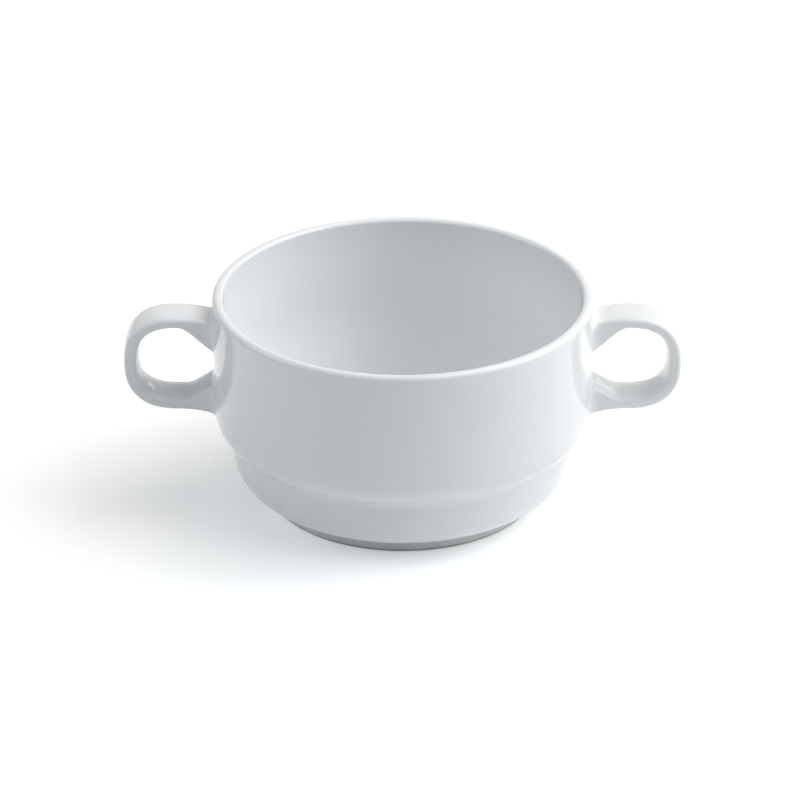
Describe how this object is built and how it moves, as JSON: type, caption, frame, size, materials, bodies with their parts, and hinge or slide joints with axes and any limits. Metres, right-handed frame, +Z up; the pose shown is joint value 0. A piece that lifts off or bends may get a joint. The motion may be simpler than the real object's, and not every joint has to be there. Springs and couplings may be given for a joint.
{
  "type": "bouillon cup",
  "caption": "Low stacking soup cup with a stepped wall, a small foot ring and a strap handle on either side.",
  "frame": {"origin": "middle of the foot ring's standing face, on the table", "axes": "+X along the two handles, +Z up through the mouth, +Y across"},
  "size_m": [0.1542, 0.105, 0.0605],
  "materials": {
    "porcelain": "clear gloss glaze over white porcelain, with the standing face of the foot left bare"
  },
  "bodies": {
    "root": {"cup": "porcelain"}
  },
  "joints": []
}
